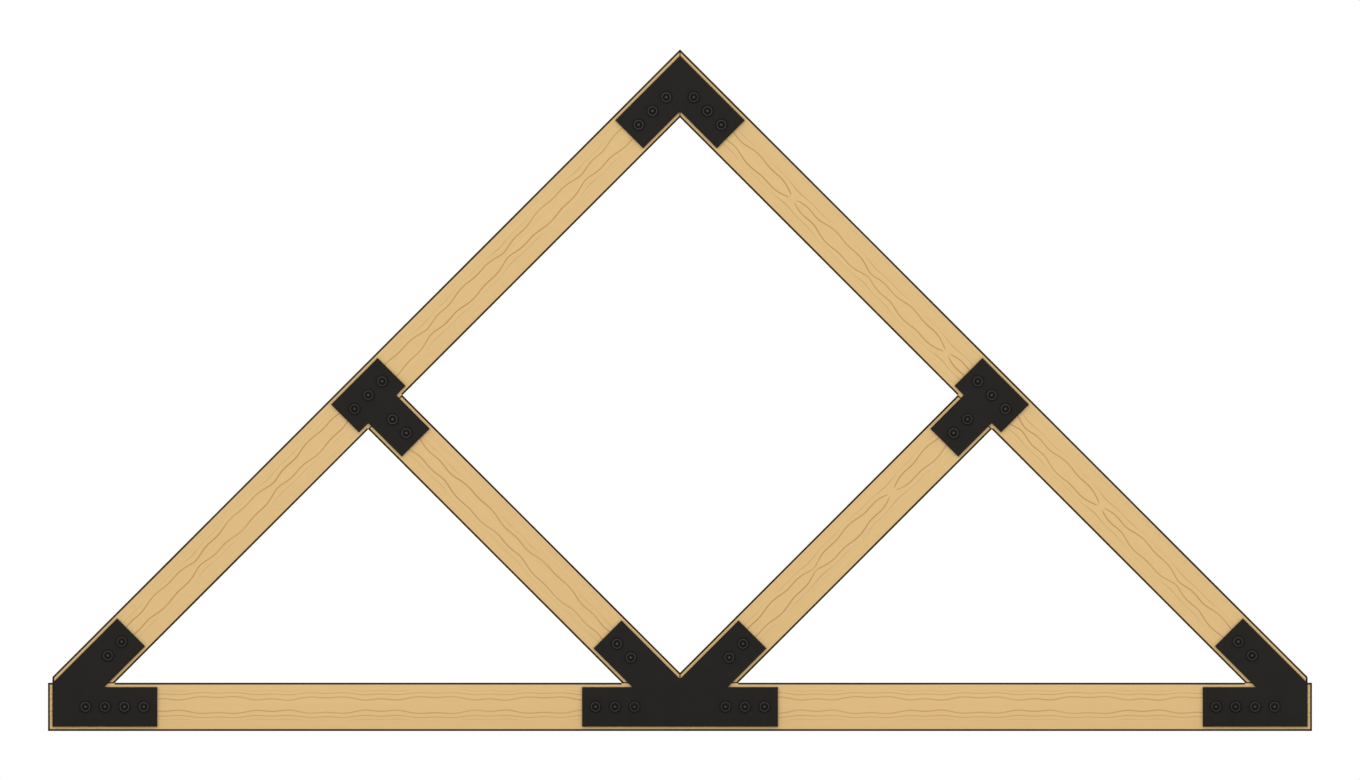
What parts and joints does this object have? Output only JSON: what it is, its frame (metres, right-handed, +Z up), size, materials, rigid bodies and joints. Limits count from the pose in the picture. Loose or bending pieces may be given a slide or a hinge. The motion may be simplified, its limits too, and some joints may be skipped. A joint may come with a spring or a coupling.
{
  "type": "roof truss",
  "caption": "Pitched timber roof truss with two diagonal webs, its square timbers joined by bolted black steel gusset plates.",
  "frame": {"origin": "middle of the bottom chord's underside", "axes": "+X along the span, -Y towards the front with the bolt heads, +Z up"},
  "size_m": [3.6576, 0.1848, 1.9725],
  "materials": {
    "timber": "planed softwood, clear matt finish",
    "plate": "matt black powder coat",
    "bolt": "black paint, worn on the heads",
    "nut": "black paint, worn on the corners"
  },
  "bodies": {
    "root": {"bottom_chord": "timber", "left_rafter": "timber", "right_rafter": "timber", "left_web": "timber", "right_web": "timber", "apex_plate_front": "plate", "apex_plate_back": "plate", "base_plate_front": "plate", "base_plate_back": "plate", "left_tee_plate_front": "plate", "left_tee_plate_back": "plate", "right_tee_plate_front": "plate", "right_tee_plate_back": "plate", "left_heel_plate_front": "plate", "left_heel_plate_back": "plate", "right_heel_plate_front": "plate", "right_heel_plate_back": "plate", "bottom_chord_bolts": "bolt", "left_rafter_bolts": "bolt", "right_rafter_bolts": "bolt", "left_web_bolts": "bolt", "right_web_bolts": "bolt", "bottom_chord_nuts": "nut", "left_rafter_nuts": "nut", "right_rafter_nuts": "nut", "left_web_nuts": "nut", "right_web_nuts": "nut"}
  },
  "joints": []
}
